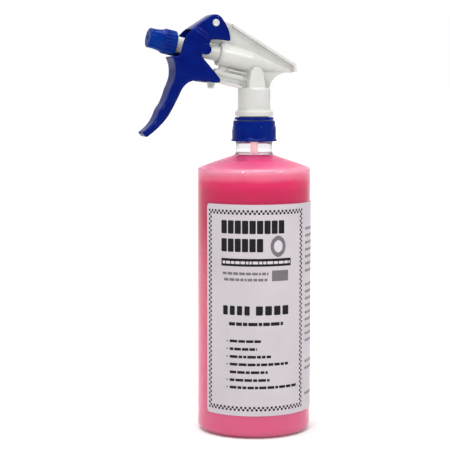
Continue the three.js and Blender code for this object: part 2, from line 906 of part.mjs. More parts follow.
addNode(pump, "plunger", plunger(), whitePlastic);
addNode(pump, "piston_cup", pistonCup(), naturalPlastic);
addNode(pump, "return_spring", returnSpring(), steel);
addNode(
  pump,
  "discharge_ball",
  new THREE.SphereGeometry(dischargeBallRadius, 12, 8).translate(dischargeBallCentre, 0, 0),
  steel,
);
addNode(pump, "discharge_spring", dischargeSpring(), steel);
addNode(pump, "spinner", spinner(), naturalPlastic);
addNode(pump, "nozzle_seal", nozzleSeal(), sealRubber);
addNode(pump, "nozzle", nozzle(), bluePlastic);

// ---------------------------------------------------------------- trigger

// Places on the trigger are [x, z] from the pivot.
const fingerSide = new THREE.SplineCurve(
  [
    [-33.2, -23.6],
    [-31.1, -28],
    [-30.3, -34],
    [-31.2, -40],
    [-34.2, -46.4],
    [-35.8, -51],
    [-38.4, -56.5],
    [-41.8, -61.2],
    [-43.4, -65.2],
    [-46.6, -70.2],
    [-50.6, -74.2],
    [-54.6, -76.9],
  ].map(([x, z]) => new THREE.Vector2(x, z)),
);
const leverBack = new THREE.SplineCurve(
  [
    [-51.3, -80.9],
    [-47.2, -78.1],
    [-42.2, -73.7],
    [-37, -68.1],
    [-33.3, -62.4],
    [-30.3, -56.8],
    [-27.5, -51.2],
    [-25.2, -46.4],
    [-21.2, -42.4],
    [-16.4, -40.6],
  ].map(([x, z]) => new THREE.Vector2(x, z)),
);

// A plane curve's points moved square to it, to its left when offset is positive.
function offsetPoints(curve, count, offset) {
  return Array.from({ length: count + 1 }, (_, i) => {
    const t = i / count;
    const point = curve.getPoint(t);
    const along = curve.getTangent(t);
    return [point.x - along.y * offset, point.y + along.x * offset];
  });
}

// Narrows the lever towards its tip.
function tapered(geometry) {
  const position = geometry.getAttribute("position");
  for (let i = 0; i < position.count; i++) {
    const down = THREE.MathUtils.clamp((-position.getZ(i) - 40) / 40, 0, 1);
    position.setY(i, position.getY(i) * THREE.MathUtils.lerp(1, leverTipScale, down));
  }
  return geometry;
}

function trigger() {
  const archCrown = 6.3;
  const jog = [
    [-16.4, -3],
    [-3.8, -12],
  ];
  const outline = [
    ...arc(0, 0, archCrown, 35, 122, 8),
    [-16.4, -3],
    [-20.4, -6.2],
    [-23.6, -9.6],
    [-25, -13],
    [-26, -17],
    [-28, -23.6],
    ...offsetPoints(fingerSide, 30, 0),
    ...offsetPoints(leverBack, 22, 0),
    [-6, -41.8],
    [2.6, -42.8],
    [3.4, -39.8],
    [-11.4, -22.9],
    [-8, -20.4],
    [-5.4, -16.4],
    [-3.8, -12],
    [3.5, -12.2],
    [11.7, -13.4],
    [11.4, -9.3],
    [10.4, -5.2],
    [8.4, -1.2],
  ];
  const innerHalfWidth = triggerHalfWidth - triggerWall;
  const besideEars = [
    jog[0],
    jog[1],
    [jog[1][0], -13.9],
    [30, -13.9],
    [30, 20],
    [-30, 20],
    [-30, 7],
  ];
  const lowerRoom = [
    [-45, -4.6],
    [-17.2, -4.6],
    [-4.7, -13.6],
    [-3.8, -14],
    [30, -14],
    [30, -60],
    [-20, -60],
    [-42, -90],
    ...offsetPoints(fingerSide, 30, triggerWall + 0.2).slice(2, 29).toReversed(),
    [-28, -25.1],
    [-28, -23.6],
    [-45, -23.6],
  ];
  const upperRoom = [
    [-15.6, -5],
    [-15.6, -4],
    ...arc(0, 0, archCrown - triggerWall - 0.2, 122, 60, 5),
    [26, 30],
    [30, 30],
    [30, -20],
    [-16.5, -20],
    [-16.5, -5],
  ];
  const envelope = solid(tapered(plate(outline, triggerHalfWidth)));
  const outsideEars = solid(plate(besideEars, triggerHalfWidth + 2)).subtract(
    solid(plate(besideEars, earHalfWidth)),
  );
  let made = envelope.subtract(outsideEars);
  made = cut(
    made,
    tapered(plate(lowerRoom, innerHalfWidth)),
    plate(upperRoom, earHalfWidth - triggerWall),
    crossRod(pivotPinRadius + pinClearance, 12, 0, 0),
  );
  // Bosses over the plunger's trunnions, each with a blind slot that lets the trunnion ride.
  const reach = new THREE.Vector2(trunnion.x - pivot.x, trunnion.z - pivot.z);
  const slotMiddle = reach.clone().setLength(pivotRise + 0.36);
  const slotRadius = trunnionRadius + 0.25;
  for (const side of [-1, 1]) {
    const boss = new THREE.CylinderGeometry(bossRadius, bossRadius, bossHeight + 1, smallFacets)
      .translate(slotMiddle.x, side * (triggerHalfWidth + bossHeight / 2 - 0.5), slotMiddle.y);
    made = made.add(solid(boss));
  }
  const slotEnds = [-0.45, 0.45].map((shift) => {
    const end = reach.clone().setLength(slotMiddle.length() + shift);
    return crossRod(slotRadius, triggerHalfWidth + 0.15, end.x, end.y);
  });
  made = cut(made, ...slotEnds);
  return geometryOf(made);
}

addNode(part, "trigger", trigger(), bluePlastic).position.copy(pivot);

export default part;
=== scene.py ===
import json
import math
import random

import bpy
from mathutils import Matrix, Vector


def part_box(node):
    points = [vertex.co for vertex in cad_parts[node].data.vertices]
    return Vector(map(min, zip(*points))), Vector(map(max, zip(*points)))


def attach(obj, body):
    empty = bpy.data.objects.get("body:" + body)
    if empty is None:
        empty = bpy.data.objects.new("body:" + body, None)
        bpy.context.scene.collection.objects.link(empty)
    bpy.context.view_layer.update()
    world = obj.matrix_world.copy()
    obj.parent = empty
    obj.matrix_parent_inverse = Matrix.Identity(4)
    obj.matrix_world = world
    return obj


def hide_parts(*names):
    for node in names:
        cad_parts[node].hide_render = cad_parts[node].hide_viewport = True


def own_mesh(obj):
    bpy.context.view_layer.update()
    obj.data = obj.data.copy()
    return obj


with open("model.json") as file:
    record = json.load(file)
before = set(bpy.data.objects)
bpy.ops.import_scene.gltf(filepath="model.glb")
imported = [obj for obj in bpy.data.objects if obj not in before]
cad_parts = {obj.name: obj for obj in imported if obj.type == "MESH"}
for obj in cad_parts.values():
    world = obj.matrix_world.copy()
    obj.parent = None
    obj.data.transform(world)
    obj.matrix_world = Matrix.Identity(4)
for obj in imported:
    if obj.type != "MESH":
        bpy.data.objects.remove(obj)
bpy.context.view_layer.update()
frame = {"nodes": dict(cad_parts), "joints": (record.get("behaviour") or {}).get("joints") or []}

# ------------------------------------------------------------------ bottle
# The bottle is clear blow-moulded plastic with a wall of about a millimetre. Its round body
# ends in a low cone and a plain neck, and the screw thread above is hidden by the collar.
# Lengths in this file are millimetres, and a piece's mesh is made in metres.
scene = bpy.context.scene
MM = 0.001
bottle_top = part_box("bottle")[1]
bottle_radius = bottle_top.x / MM
lip_height = bottle_top.z / MM
wall = 1.0
cone_slope = math.radians(19.4)
shoulder_height = 190.8
neck_radius = 13.3
neck_foot = shoulder_height + (bottle_radius - neck_radius) * math.tan(cone_slope)
finish_foot = neck_foot + 8.2
finish_radius = 12.5
neck_bore = 10.9
thread_lead = 4.23
heel_radius = 5.5
floor_thick = 2.2
recess_depth = 1.2
bottle_facets = 144


def arc(radius, height, size, start, end, steps):
    """Profile points on an arc, from one angle to another in degrees."""
    turns = [math.radians(start + (end - start) * i / steps) for i in range(steps + 1)]
    return [(radius + size * math.cos(t), height + size * math.sin(t)) for t in turns]


def turned(profile, facets):
    """A closed profile of (radius, height) turned about the upright axis."""
    verts, rows = [], []
    for radius, height in profile:
        if radius < 1e-6:
            rows.append([len(verts)] * facets)
            verts.append((0.0, 0.0, height))
            continue
        rows.append(list(range(len(verts), len(verts) + facets)))
        for i in range(facets):
            turn = 2 * math.pi * i / facets
            verts.append((radius * math.cos(turn), radius * math.sin(turn), height))
    open_ended = profile[0][0] < 1e-6 and profile[-1][0] < 1e-6
    faces = []
    for k in range(len(rows) - 1 if open_ended else len(rows)):
        low, high = rows[k], rows[(k + 1) % len(rows)]
        for i in range(facets):
            j = (i + 1) % facets
            corners = [low[i], low[j], high[j], high[i]]
            face = [c for n, c in enumerate(corners) if c != corners[n - 1]]
            if len(face) > 2:
                faces.append(face)
    return verts, faces


def ridge(root, crest, start, lead, begin, turns, per_turn=48):
    """A screw thread's ridge; root and crest are (radius, half width)."""
    steps = round(turns * per_turn)
    verts, faces = [], []
    for i in range(steps + 1):
        turn = begin + i / per_turn
        angle, height = turn * 2 * math.pi, start + lead * turn
        grown = min(1, (min(i, steps - i) + 0.4) / 5)
        top = root[0] + (crest[0] - root[0]) * grown
        section = [(root[0], -root[1]), (top, -crest[1]), (top, crest[1]), (root[0], root[1])]
        for radius, offset in section:
            verts.append((radius * math.cos(angle), radius * math.sin(angle), height + offset))
    for i in range(steps):
        for side in range(4):
            near, ahead = 4 * i, 4 * i + 4
            after = (side + 1) % 4
            faces.append([near + side, ahead + side, ahead + after, near + after])
    faces.append([0, 1, 2, 3])
    faces.append([4 * steps + 3, 4 * steps + 2, 4 * steps + 1, 4 * steps])
    if crest[0] < root[0]:
        faces = [face[::-1] for face in faces]
    return verts, faces


def blank(name, shape, place=Matrix.Identity(4)):
    """A mesh object from a shape's points and faces, in metres."""
    verts, faces = shape
    mesh = bpy.data.meshes.new(name)
    mesh.from_pydata([place @ Vector(v) * MM for v in verts], [], faces)
    mesh.update()
    made = bpy.data.objects.new(name, mesh)
    scene.collection.objects.link(made)
    return made


def joined(name, base, added=(), cut=(), voxel=None, passes=0):
    """One solid from a base with others added and cut away, its edges softened if a voxel is given."""
    for operation, others in (("UNION", added), ("DIFFERENCE", cut)):
        for other in others:
            step = base.modifiers.new(operation.lower(), "BOOLEAN")
            step.operation, step.solver, step.object = operation, "MANIFOLD", other
    if voxel:
        grid = base.modifiers.new("grid", "REMESH")
        grid.mode, grid.voxel_size, grid.use_smooth_shade = "VOXEL", voxel * MM, True
        soften = base.modifiers.new("soften", "SMOOTH")
        soften.factor, soften.iterations = 0.5, passes
    graph = bpy.context.evaluated_depsgraph_get()
    mesh = bpy.data.meshes.new_from_object(base.evaluated_get(graph))
    mesh.name = name
    made = bpy.data.objects.new(name, mesh)
    scene.collection.objects.link(made)
    for used in (base, *added, *cut):
        bpy.data.objects.remove(used)
    return made


def fitted(piece, body, slot_name, finish, *nodes, crease=35):
    """Smooths a finished piece, gives it its finish, and fixes it to its body."""
    piece.data.materials.clear()
    piece.data.materials.append(finish)
    piece.data.shade_smooth()
    piece.data.set_sharp_from_angle(angle=math.radians(crease))
    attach(piece, body)
    if nodes:
        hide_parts(*nodes)
    return piece


def finish_nodes(name):
    """A new material with its node list, links and main shader."""
    finish = bpy.data.materials.new(name)
    finish.use_nodes = True
    tree = finish.node_tree
    return finish, tree, tree.nodes["Principled BSDF"]


def speckle(tree, size, detail=3.0):
    """Noise over the object with grains of about this many millimetres."""
    where = tree.nodes.new("ShaderNodeTexCoord")
    scaled = tree.nodes.new("ShaderNodeMapping")
    scaled.inputs["Scale"].default_value = [1 / (size * MM)] * 3
    noise = tree.nodes.new("ShaderNodeTexNoise")
    noise.inputs["Scale"].default_value = 1.0
    noise.inputs["Detail"].default_value = detail
    tree.links.new(where.outputs["Object"], scaled.inputs["Vector"])
    tree.links.new(scaled.outputs["Vector"], noise.inputs["Vector"])
    return noise.outputs["Fac"]


def ranged(tree, value, low, high, start=0.3, end=0.7):
    """A value spread over a range, for roughness and the like."""
    spread = tree.nodes.new("ShaderNodeMapRange")
    spread.inputs["From Min"].default_value = start
    spread.inputs["From Max"].default_value = end
    spread.inputs["To Min"].default_value = low
    spread.inputs["To Max"].default_value = high
    tree.links.new(value, spread.inputs["Value"])
    return spread.outputs["Result"]


def blended(tree, value, first, second, start=0.3, end=0.7):
    """A colour between two, by a value."""
    ramp = tree.nodes.new("ShaderNodeValToRGB")
    ramp.color_ramp.elements[0].position = start
    ramp.color_ramp.elements[1].position = end
    ramp.color_ramp.elements[0].color = (*first, 1)
    ramp.color_ramp.elements[1].color = (*second, 1)
    tree.links.new(value, ramp.inputs["Fac"])
    return ramp.outputs["Color"]


def bumped(tree, shader, value, height):
    """Raises and lowers the surface by a value, to this many millimetres."""
    bump = tree.nodes.new("ShaderNodeBump")
    bump.inputs["Distance"].default_value = height * MM
    tree.links.new(value, bump.inputs["Height"])
    tree.links.new(bump.outputs["Normal"], shader.inputs["Normal"])


def by_height(tree, stops, low, high):
    """A colour that changes with height, from stops of (share of the height, colour)."""
    where = tree.nodes.new("ShaderNodeTexCoord")
    parts = tree.nodes.new("ShaderNodeSeparateXYZ")
    drift = tree.nodes.new("ShaderNodeMath")
    drift.operation = "MULTIPLY_ADD"
    drift.inputs[1].default_value = 0.004
    ramp = tree.nodes.new("ShaderNodeValToRGB")
    ramp.color_ramp.interpolation = "EASE"
    for place, colour in stops[1:-1]:
        ramp.color_ramp.elements.new(place).color = (*colour, 1)
    for end in (0, -1):
        ramp.color_ramp.elements[end].position = stops[end][0]
        ramp.color_ramp.elements[end].color = (*stops[end][1], 1)
    tree.links.new(where.outputs["Object"], parts.inputs["Vector"])
    tree.links.new(speckle(tree, 30), drift.inputs[0])
    tree.links.new(parts.outputs["Z"], drift.inputs[2])
    share = ranged(tree, drift.outputs["Value"], 0, 1, low * MM, high * MM)
    tree.links.new(share, ramp.inputs["Fac"])
    return ramp.outputs["Color"]


def clear_plastic():
    """The bottle's see-through plastic."""
    finish, tree, shader = finish_nodes("clear_bottle_plastic")
    shader.inputs["Transmission Weight"].default_value = 1.0
    shader.inputs["IOR"].default_value = 1.45
    # The neck is thicker than the blown body, so it looks a little greyer.
    colour = by_height(tree, [
        (0.0, (0.99, 0.985, 0.99)), (0.45, (1, 1, 1)), (0.93, (1, 1, 1)), (1.0, (0.95, 0.94, 0.96)),
    ], 0, neck_foot)
    # The cone has the fine texture of the mould, and the rest is polished.
    polish = by_height(tree, [
        (0.0, (0.04, 0.04, 0.04)), (0.934, (0.02, 0.02, 0.02)), (0.944, (0.3, 0.3, 0.3)),
        (0.965, (0.3, 0.3, 0.3)), (1.0, (0.05, 0.05, 0.05)),
    ], 0, neck_foot + 4)
    tree.links.new(colour, shader.inputs["Base Color"])
    tree.links.new(polish, shader.inputs["Roughness"])
    bumped(tree, shader, speckle(tree, 14, 2.0), 0.05)
    return finish


# The base has a flat middle, a shallow ring-shaped recess and a flat ring that it stands on.
stand_radius = bottle_radius - heel_radius
bottle_outside = [
    (0, 0), (11.6, 0), (12.4, 0.25), (13.6, 0.95), (14.4, recess_depth), (28.6, recess_depth),
    (29.4, 0.95), (30.6, 0.25), (31.4, 0), (stand_radius, 0),
    *arc(stand_radius, heel_radius, heel_radius, -80, 0, 9),
    (bottle_radius - 0.02, 60), (bottle_radius - 0.02, 140),
]
shoulder_round = 3.0
round_drop = shoulder_round * math.tan((math.pi / 2 - cone_slope) / 2)
bottle_outside += arc(
    bottle_radius - shoulder_round, shoulder_height - round_drop, shoulder_round,
    0, 90 - math.degrees(cone_slope), 8,
)
bottle_outside += [
    (neck_radius + 2.2, neck_foot - 2.2 * math.tan(cone_slope)),
    (neck_radius + 0.9, neck_foot - 0.1), (neck_radius + 0.25, neck_foot + 0.7),
    (neck_radius, neck_foot + 1.8), (neck_radius, finish_foot + 0.9),
    (finish_radius, finish_foot + 1.6), (finish_radius, lip_height - 0.4),
    (finish_radius - 0.4, lip_height),
]
inner_round = shoulder_round - 0.8
inside_radius = bottle_radius - wall
inside_cone = shoulder_height - wall / math.cos(cone_slope) + wall * math.tan(cone_slope)


def cone_inside(radius):
    """The height of the cone's inner face at a radius."""
    return inside_cone + (inside_radius - radius) * math.tan(cone_slope)


bottle_inside = [
    (neck_bore, lip_height), (neck_bore, finish_foot + 4),
    (neck_radius - wall - 0.2, finish_foot + 1), (neck_radius - wall, neck_foot + 0.8),
    (neck_radius - wall + 1.5, cone_inside(neck_radius - wall + 1.5)),
    *arc(inside_radius - inner_round, inside_cone - 1.55, inner_round, 70, 0, 6),
    *arc(stand_radius, heel_radius, heel_radius - wall, 0, -80, 8),
    (stand_radius - 4.5, wall), (stand_radius - 6.5, floor_thick), (0, floor_thick),
]
bottle = joined(
    "bottle_shell",
    blank("bottle_turned", turned(bottle_outside + bottle_inside, bottle_facets)),
    added=[blank("neck_thread", ridge(
        (finish_radius - 0.5, 1.25), (finish_radius + 1.25, 0.5), finish_foot + 3,
        thread_lead, 0, 1.5,
    ))],
)
fitted(bottle, "bottle", "clear_bottle", clear_plastic(), "bottle")

# ------------------------------------------------------------------ lubricant
# The lubricant is a hazy pink liquid that wets the whole inside of the bottle, up to the foot
# of the neck, where its surface climbs a little at the wall.
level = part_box("lube_fill")[1].z / MM


def pink_liquid():
    """The hazy pink of the lubricant."""
    finish, tree, shader = finish_nodes("pink_lubricant")
    # The colour changes with height: deepest under the shoulder and lighter in the thin cone. The paler base
    # is painted light from the floor, and the bright band at the shoulder's round is a painted highlight.
    colour = by_height(tree, [
        (0.0, (0.94, 0.15, 0.34)), (0.12, (0.94, 0.13, 0.32)), (0.55, (0.86, 0.12, 0.25)),
        (0.80, (0.70, 0.004, 0.095)), (0.88, (0.74, 0.006, 0.12)), (0.915, (0.86, 0.02, 0.16)),
        # These two stops are the painted highlight along the shoulder's round.
        (0.938, (0.98, 0.20, 0.35)), (0.957, (1.0, 0.38, 0.52)), (0.975, (0.95, 0.13, 0.33)),
        (1.0, (0.90, 0.11, 0.32)),
    ], 0, level)
    tree.links.new(colour, shader.inputs["Base Color"])
    tree.links.new(ranged(tree, speckle(tree, 20), 0.3, 0.4), shader.inputs["Roughness"])
    shader.inputs["Specular IOR Level"].default_value = 0.1
    shader.inputs["Subsurface Weight"].default_value = 0.35
    shader.inputs["Subsurface Radius"].default_value = (1.0, 0.25, 0.35)
    shader.inputs["Subsurface Scale"].default_value = 0.006
    shader.inputs["Sheen Weight"].default_value = 0.5
    shader.inputs["Sheen Roughness"].default_value = 0.45
    shader.inputs["Sheen Tint"].default_value = (1.0, 0.5, 0.62, 1)
    bumped(tree, shader, speckle(tree, 24), 0.1)
    return finish


# The liquid reaches a little into the wall, so that no gap of air shows between them.
wetting = 0.12
lube_outline = [
    (0, floor_thick - wetting), (stand_radius - 6.5, floor_thick - wetting),
    (stand_radius - 4.5, wall - wetting),
    *arc(stand_radius, heel_radius, heel_radius - wall + wetting, -80, 0, 8),
    *arc(inside_radius - inner_round, inside_cone - 1.55, inner_round + wetting, 0, 70, 6),
    (13.8, cone_inside(13.8) + wetting), (12.6, level + 0.5), (11.4, level + 0.1),
    (9.5, level), (0, level),
]
lube = blank("lubricant", turned(lube_outline, bottle_facets))
fitted(lube, "bottle", "pink_lube", pink_liquid(), "lube_fill")

# ------------------------------------------------------------------ label
# One satin plastic film, printed in black and grey, wraps three quarters of the body. Its
# corners are rounded, and a chequered border frames the front panel.
label_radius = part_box("label")[1].x / MM
label_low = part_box("label")[0].z / MM
label_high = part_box("label")[1].z / MM
facing = -20.0
label_start, label_end = -54.6, 206.0
film = 0.16
# Places on the label are turns in degrees from the middle of its front, and heights.
degree = math.pi * label_radius / 180


def on_label(turn, height, out=0.0):
    """A place on the label, by its turn in degrees from the middle of the front."""
    angle = math.radians(turn + facing)
    radius = label_radius + out
    return (radius * math.sin(angle), -radius * math.cos(angle), height)


def curved_patch(low_turn, high_turn, low, high, inner, outer, corner=0.0, mesh=None):
    """A thin curved plate on the label, with rounded corners if asked, added to a mesh if given."""
    verts, faces = mesh or ([], [])
    columns = max(1, math.ceil((high_turn - low_turn) / 1.5))
    turns = [low_turn + (high_turn - low_turn) * i / columns for i in range(columns + 1)]
    if corner:
        span = corner / degree
        steps = [span * (1 - math.cos(math.pi / 2 * k / 6)) for k in range(7)]
        turns = sorted(
            {low_turn + s for s in steps}
            | {high_turn - s for s in steps}
            | {t for t in turns if low_turn + span < t < high_turn - span}
        )
    start = len(verts)
    for turn in turns:
        edge = min(turn - low_turn, high_turn - turn) * degree
        inset = 0.0
        if edge < corner:
            inset = corner - math.sqrt(max(0.0, corner**2 - (corner - edge) ** 2))
        for height in (low + inset, high - inset):
            verts.append(on_label(turn, height, outer))
            verts.append(on_label(turn, height, inner))
    for c in range(len(turns) - 1):
        left, right = start + 4 * c, start + 4 * (c + 1)
        faces.append([left, right, right + 2, left + 2])
        faces.append([left + 1, left + 3, right + 3, right + 1])
        faces.append([left, left + 1, right + 1, right])
        faces.append([left + 2, right + 2, right + 3, left + 3])
    last = start + 4 * (len(turns) - 1)
    faces.append([start + 2, start + 3, start + 1, start])
    faces.append([last, last + 1, last + 3, last + 2])
    return verts, faces


def label_film():
    """Satin film, a little uneven in tone."""
    finish, tree, shader = finish_nodes("label_film")
    cloud = speckle(tree, 26, 4.0)
    colour = blended(tree, cloud, (0.45, 0.405, 0.44), (0.49, 0.445, 0.48))
    tree.links.new(colour, shader.inputs["Base Color"])
    tree.links.new(ranged(tree, speckle(tree, 3), 0.42, 0.58), shader.inputs["Roughness"])
    shader.inputs["Specular IOR Level"].default_value = 0.35
    bumped(tree, shader, speckle(tree, 0.6, 2.0), 0.012)
    return finish


def print_ink(name, first, second):
    """Dull printing ink between two shades."""
    finish, tree, shader = finish_nodes(name)
    tree.links.new(blended(tree, speckle(tree, 0.8, 4.0), first, second), shader.inputs["Base Color"])
    tree.links.new(ranged(tree, speckle(tree, 2), 0.5, 0.65), shader.inputs["Roughness"])
    shader.inputs["Specular IOR Level"].default_value = 0.12
    bumped(tree, shader, speckle(tree, 0.3, 2.0), 0.004)
    return finish


label = blank("label_film", curved_patch(
    label_start, label_end, label_low, label_high, -film - 0.02, 0.0, corner=3.2,
))
fitted(label, "bottle", "label_film", label_film(), "label", crease=50)

ink_low, ink_high = -0.01, 0.012
black, grey, pale = ([], []), ([], []), ([], [])


def bar(ink, turn, high_turn, height, thick, corner=0.25):
    """A printed bar between two turns, by the height of its middle and how thick it is."""
    curved_patch(turn, high_turn, height - thick / 2, height + thick / 2,
                 ink_low, ink_high, corner=min(corner, thick / 2.2), mesh=ink)


def words(ink, turn, high_turn, height, thick, seed, longest=6.0):
    """A row of bars with gaps between them, in place of a line of words."""
    draw = random.Random(seed)
    while turn < high_turn - 1:
        length = min(draw.uniform(0.35, 1.0) * longest, high_turn - turn)
        bar(ink, turn, turn + length, height, thick)
        turn += length + 0.95


def letters(ink, turn, high_turn, height, thick, count, gap):
    """A row of equal upright blocks."""
    pitch = (high_turn - turn + gap) / count
    for i in range(count):
        bar(ink, turn + i * pitch, turn + (i + 1) * pitch - gap, height, thick, corner=0.7)


# Two rows of small squares, offset like a chess board, run round the front panel.
panel_left, panel_right = -51.6, 55.2
panel_low, panel_high = 20.4, 163.2
square = 1.62
across = round((panel_right - panel_left) * degree / square / 2) * 2 + 1
upward = round((panel_high - panel_low) / square / 2) * 2 + 1
wide = (panel_right - panel_left) / across
tall = (panel_high - panel_low) / upward
for i in range(across):
    for row in range(2):
        if (i + row) % 2 == 0:
            left = panel_left + i * wide
            for low in (panel_low + row * tall, panel_high - (row + 1) * tall):
                curved_patch(left, left + wide, low, low + tall, ink_low, ink_high, mesh=black)
for i in range(2, upward - 2):
    for column in range(2):
        if (i + column) % 2 == 0:
            low = panel_low + i * tall
            for left in (panel_left + column * wide, panel_right - (column + 1) * wide):
                curved_patch(left, left + wide, low, low + tall, ink_low, ink_high, mesh=black)

# The front panel from the top: a title in two lines with a ring beside it, a dark band with
# pale words, two small lines with a grey swatch, a second title, and a list of seven lines.
letters(black, -34.7, 30.0, 151.2, 9.4, 9, 1.1)
letters(black, -34.7, 8.0, 138.4, 9.4, 6, 1.1)
bar(grey, 15.5, 31.5, 137.6, 15.6, corner=7.6)
bar(pale, 18.9, 28.1, 137.6, 8.9, corner=4.4)
bar(black, -34.7, 37.9, 126.3, 5.5)
words(pale, -33.2, 36.6, 126.2, 1.9, 3)
words(grey, -33.1, 13.4, 118.4, 1.9, 5)
words(grey, -31.7, 12.4, 114.1, 1.9, 6)
bar(grey, 16.9, 34.7, 116.8, 7.6)
letters(black, -32.7, -5.0, 92.2, 6.6, 4, 2.2)
letters(black, 1.0, 35.2, 92.2, 6.6, 4, 2.2)
words(black, -26.1, 29.0, 82.6, 2.4, 9, 10)
list_lines = [
    (70.4, 6.1), (64.8, 2.3), (59.3, 16.2), (53.8, 35.0), (48.2, 12.9), (42.6, 14.8), (37.3, 46.9),
]
carried_on = 4
for k, (height, end) in enumerate(list_lines):
    if k != carried_on:
        bar(black, -28.9, -27.5, height, 1.15, corner=0.5)
    words(black, -25.3, end, height, 1.95, 20 + k, 8.5)

# Small print fills a panel on the side, and three narrow columns go on round the back.
side_panel, line_pitch, empty_lines = 61.4, 5.05, (7, 17, 18)
for k in range(21):
    if k not in empty_lines:
        words(grey, side_panel, 118 - (k * 7) % 23, 148.4 - k * line_pitch, 1.9, 50 + k, 5)
words(grey, side_panel, 104, 29.0, 1.9, 80, 5)
for column in range(3):
    left = 128 + column * 24
    for k in range(10):
        if (k + column) % 4 != 3:
            words(grey, left, left + 20, 148 - k * 6.1, 1.6, 90 + 10 * column + k, 5)

for name, ink, first, second in (
    ("label_print_black", black, (0.004, 0.0035, 0.005), (0.014, 0.012, 0.016)),
    ("label_print_grey", grey, (0.11, 0.10, 0.115), (0.17, 0.155, 0.17)),
    ("label_print_pale", pale, (0.50, 0.46, 0.50), (0.58, 0.53, 0.575)),
):
    # Pale ink is printed over the dark, so it stands a little further out.
    grown = 1 + 0.008 / label_radius if ink is pale else 1.0
    verts = [(x * grown, y * grown, z) for x, y, z in ink[0]]
    printed = blank(name, (verts, ink[1]))
    fitted(printed, "bottle", "label_film", print_ink(name + "_ink", first, second), crease=40)

# ------------------------------------------------------------------ collar
# The collar is a glossy blue polypropylene screw cap. Its skirt flares at the foot, its top
# steps in, and six groups of three upright ribs give the fingers a grip.
collar_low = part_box("collar")[0].z / MM
collar_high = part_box("collar")[1].z / MM
skirt_radius = 15.25
flare_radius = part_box("collar")[1].x / MM
thread_room = 14.15


def blue_plastic(name, deep, bright):
    """Glossy moulded blue, between two shades."""
    finish, tree, shader = finish_nodes(name)
    swirl = speckle(tree, 9, 5.0)
    tree.links.new(blended(tree, swirl, deep, bright), shader.inputs["Base Color"])
    tree.links.new(ranged(tree, speckle(tree, 4), 0.13, 0.2), shader.inputs["Roughness"])
    shader.inputs["Specular IOR Level"].default_value = 0.06
    bumped(tree, shader, speckle(tree, 0.7, 3.0), 0.012)
    return finish


collar_outline = [
    (thread_room + 0.6, collar_low), *arc(flare_radius - 0.3, collar_low + 0.3, 0.3, -90, 0, 3),
    (flare_radius, collar_low + 1.1), (skirt_radius + 0.5, collar_low + 1.9),
    (skirt_radius + 0.15, collar_low + 3.2),
    *arc(skirt_radius - 0.6, collar_high - 3.2, 0.6, 0, 80, 4),
    (14.2, collar_high - 2.5), *arc(13.5, collar_high - 0.5, 0.5, 0, 90, 3),
    (10.95, collar_high), (10.95, collar_high - 1.8), (thread_room, collar_high - 1.8),
    (thread_room, collar_low + 0.8),
]
grip_ribs = []
for group in range(6):
    for place in (-1, 0, 1):
        height = 10.4 if place == 0 else 8.2
        turn = math.radians(60 * group + 13 * place)
        shape = turned([(0, 0), (0.62, 0.2), (0.62, height - 0.6), (0.35, height - 0.1), (0, height)], 12)
        away = Matrix.Rotation(turn, 4, "Z") @ Matrix.Translation((0, -skirt_radius, collar_low + 0.5))
        grip_ribs.append(blank("grip_rib", shape, away))
collar_thread = blank("collar_thread", ridge(
    (thread_room + 0.4, 1.2), (12.9, 0.5), finish_foot + 3 - thread_lead / 2, thread_lead, 0.4, 1.4,
))
collar = joined(
    "screw_collar", blank("collar_turned", turned(collar_outline, 96)),
    added=[*grip_ribs, collar_thread], voxel=0.24, passes=2,
)
collar_blue = blue_plastic("collar_blue", (0.0, 0.006, 0.125), (0.0, 0.013, 0.165))
fitted(collar, "collar", "blue_plastic", collar_blue, "collar", crease=180)

# ------------------------------------------------------------------ seal, retainer and tube
# Under the collar a soft washer seals the lip, and a white plug pressed into the stem holds
# the milky polyethylene dip tube and the steel ball of the inlet valve.


def plain_finish(name, first, second, rough, grain, metal=0.0, milky_glow=0.0):
    """A plain surface between two shades; a see-through share lets light through, spreads it and adds a
    faint painted glow.
    """
    finish, tree, shader = finish_nodes(name)
    tree.links.new(blended(tree, speckle(tree, grain, 4.0), first, second), shader.inputs["Base Color"])
    tree.links.new(ranged(tree, speckle(tree, grain / 2), *rough), shader.inputs["Roughness"])
    shader.inputs["Metallic"].default_value = metal
    shader.inputs["Transmission Weight"].default_value = milky_glow
    # A see-through finish also glows faintly in its own colour: painted light that brightens the tube inside
    # the clear neck.
    shader.inputs["Emission Color"].default_value = (*first, 1)
    shader.inputs["Emission Strength"].default_value = 0.2 * milky_glow
    bumped(tree, shader, speckle(tree, grain / 8, 3.0), 0.01)
    return finish


washer_soft = plain_finish("washer_soft", (0.56, 0.55, 0.52), (0.62, 0.61, 0.58), (0.6, 0.8), 2)
# The dip tube glows faintly: painted light that brightens it inside the clear neck.
tube_milky_glow = plain_finish(
    "tube_milky_glow", (1.0, 0.72, 0.74), (1.0, 0.80, 0.80), (0.25, 0.4), 6, milky_glow=0.8)
steel_bright = plain_finish(
    "steel_bright", (0.55, 0.56, 0.58), (0.66, 0.67, 0.68), (0.12, 0.25), 1, metal=1.0)
natural_soft = plain_finish("natural_soft", (0.76, 0.72, 0.63), (0.82, 0.79, 0.7), (0.35, 0.5), 3)


def white_plastic(name):
    """The head's slightly warm white."""
    finish, tree, shader = finish_nodes(name)
    tone = blended(tree, speckle(tree, 16, 4.0), (0.47, 0.472, 0.445), (0.53, 0.532, 0.51))
    tree.links.new(tone, shader.inputs["Base Color"])
    tree.links.new(ranged(tree, speckle(tree, 5), 0.30, 0.44), shader.inputs["Roughness"])
    bumped(tree, shader, speckle(tree, 0.8, 3.0), 0.012)
    return finish


head_white = white_plastic("head_white")


def redone(node, finish):
    """Gives a new finish to a CAD node that keeps its shape."""
    piece = frame["nodes"][node]
    for spot in range(len(piece.material_slots)):
        piece.material_slots[spot].material = finish
    if not piece.material_slots:
        piece.data.materials.append(finish)


redone("neck_gasket", washer_soft)
redone("tube_retainer", head_white)
redone("inlet_ball", steel_bright)

